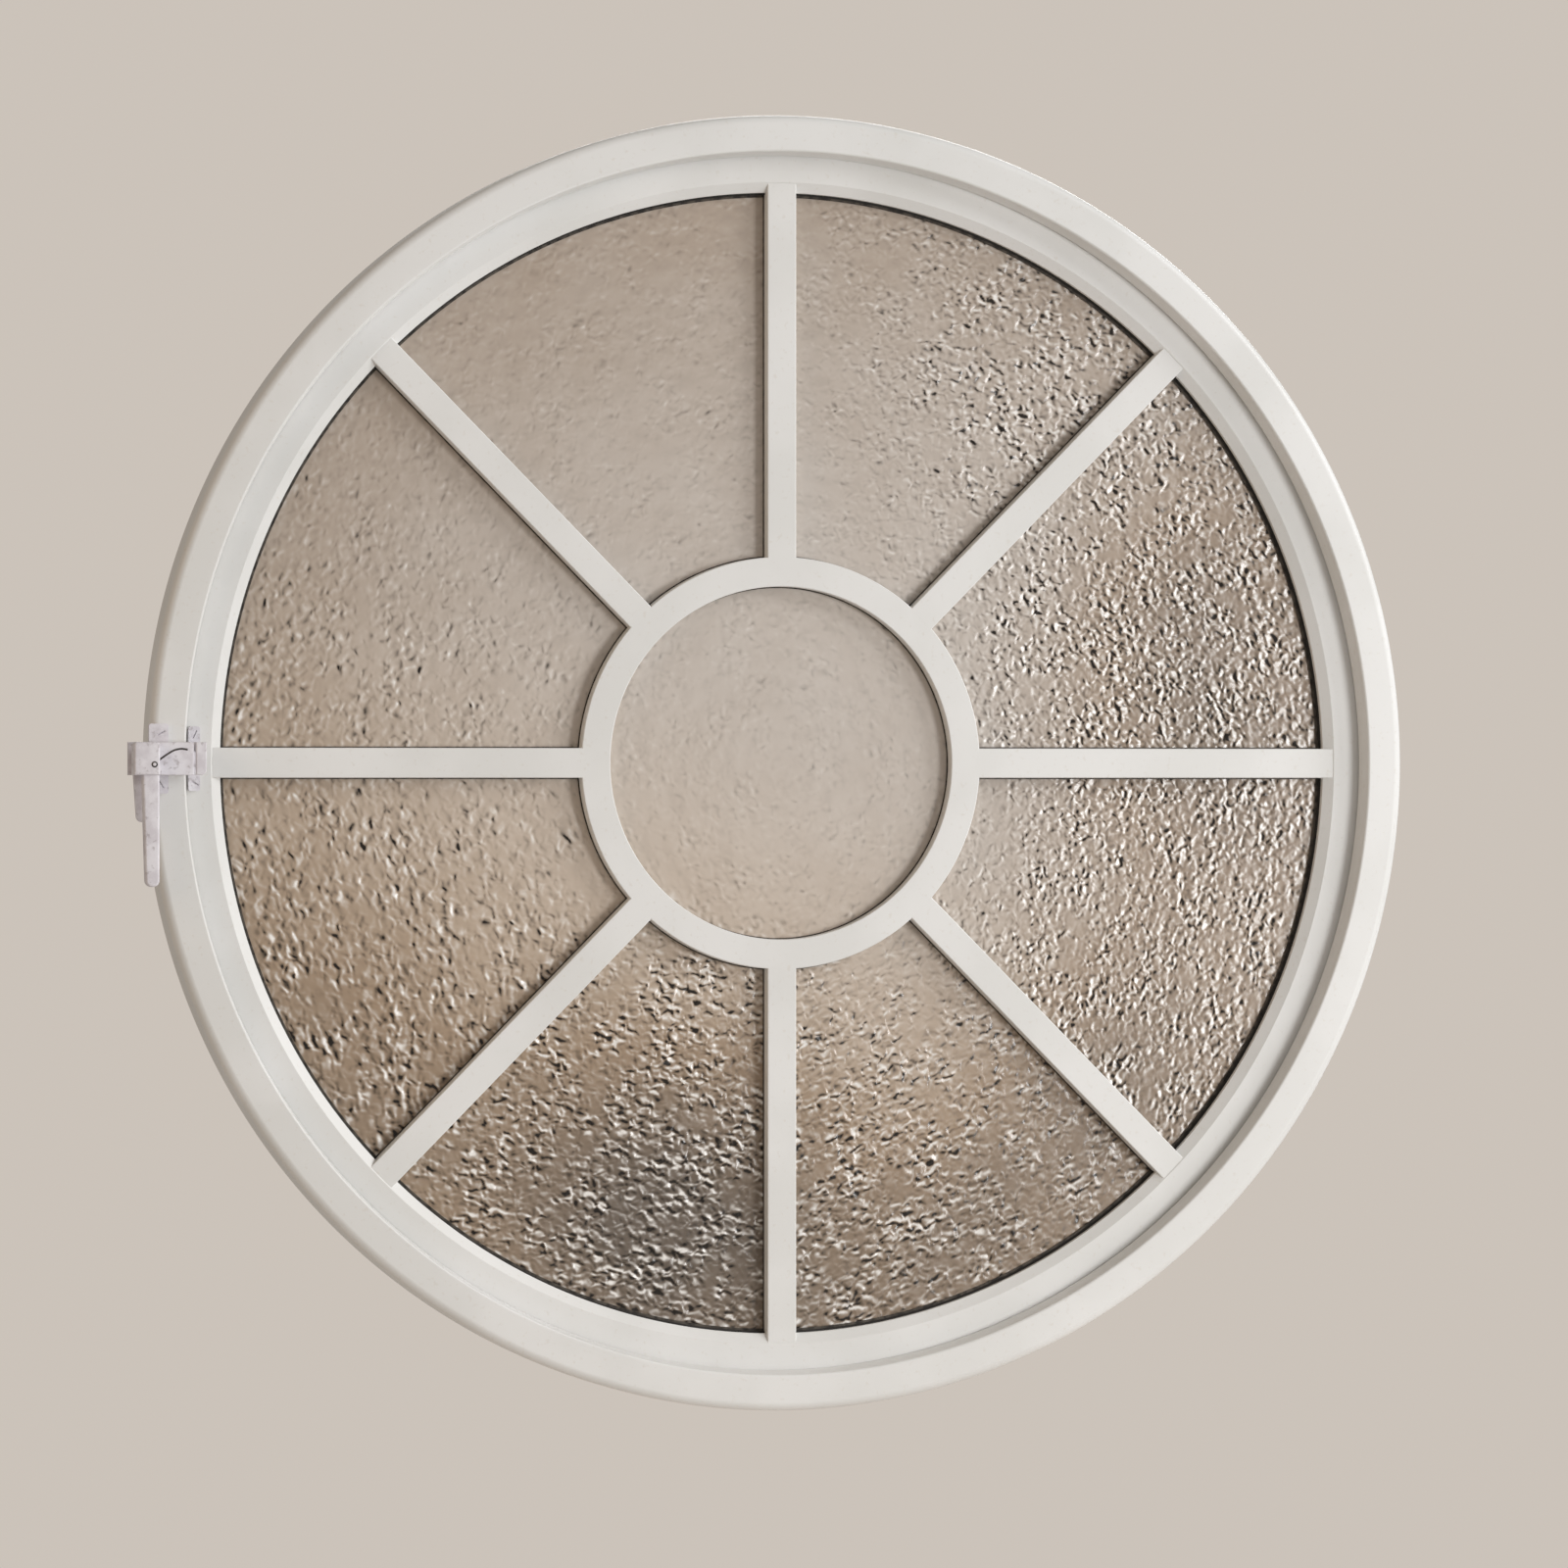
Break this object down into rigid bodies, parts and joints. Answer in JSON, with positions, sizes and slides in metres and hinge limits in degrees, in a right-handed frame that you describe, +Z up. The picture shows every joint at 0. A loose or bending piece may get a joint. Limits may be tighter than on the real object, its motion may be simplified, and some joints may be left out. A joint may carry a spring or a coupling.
{
  "type": "round window",
  "caption": "Round side-hung window with a proud flange ring, an outward-opening sash of textured glass in radial glazing bars round a centre pane, and a turn latch.",
  "frame": {"origin": "centre of the circle in the plane where the flange meets the wall", "axes": "+Y out of the room along the window's axis, +Z up, +X to the right seen from the room, where the hinges are"},
  "size_m": [1.017, 0.0925, 1],
  "materials": {
    "white_paint": "satin white paint, slightly warm",
    "latch_paint": "satin white paint, slightly cool, worn at the screws",
    "textured_glass": "hammered on one side, taupe daylight through it",
    "black_rubber": "matt black",
    "zinc_steel": "zinc-plated"
  },
  "bodies": {
    "frame": {"frame_ring": "white_paint", "stop_seal": "black_rubber", "latch_base": "latch_paint", "latch_base_screws": "zinc_steel", "hinge_frame_leaf_upper": "white_paint", "hinge_frame_leaf_lower": "white_paint", "hinge_pin_upper": "zinc_steel", "hinge_pin_lower": "zinc_steel", "hinge_frame_screws": "zinc_steel"},
    "sash": {"sash_ring": "white_paint", "front_gasket": "black_rubber", "rear_gasket": "black_rubber", "rear_bead": "white_paint", "rear_bead_screws": "zinc_steel", "centre_ring": "white_paint", "centre_rear_ring": "white_paint", "spoke_bar_1": "white_paint", "spoke_bar_2": "white_paint", "spoke_bar_3": "white_paint", "spoke_bar_4": "white_paint", "spoke_bar_5": "white_paint", "spoke_bar_6": "white_paint", "spoke_bar_7": "white_paint", "spoke_bar_8": "white_paint", "rear_bar_1": "white_paint", "rear_bar_2": "white_paint", "rear_bar_3": "white_paint", "rear_bar_4": "white_paint", "rear_bar_5": "white_paint", "rear_bar_6": "white_paint", "rear_bar_7": "white_paint", "rear_bar_8": "white_paint", "glass_pane_1": "textured_glass", "glass_pane_2": "textured_glass", "glass_pane_3": "textured_glass", "glass_pane_4": "textured_glass", "glass_pane_5": "textured_glass", "glass_pane_6": "textured_glass", "glass_pane_7": "textured_glass", "glass_pane_8": "textured_glass", "centre_glass": "textured_glass", "strike": "latch_paint", "strike_screws": "zinc_steel", "hinge_sash_leaf_upper": "white_paint", "hinge_sash_leaf_lower": "white_paint", "hinge_sash_screws": "zinc_steel"},
    "lever": {"lever_handle": "latch_paint", "lever_spindle": "zinc_steel", "latch_tongue": "latch_paint", "spindle_washer": "zinc_steel"}
  },
  "joints": [
    {"name": "sash_hinge", "type": "hinge", "parent": "frame", "child": "sash", "pos_m": [0.476, 0.0355, 0], "axis": [0, 0, -1], "range_deg": [0, 90]},
    {"name": "lever_turn", "type": "hinge", "parent": "frame", "child": "lever", "pos_m": [-0.507, -0.035, 0.003], "axis": [0, -1, 0], "range_deg": [0, 90]}
  ]
}
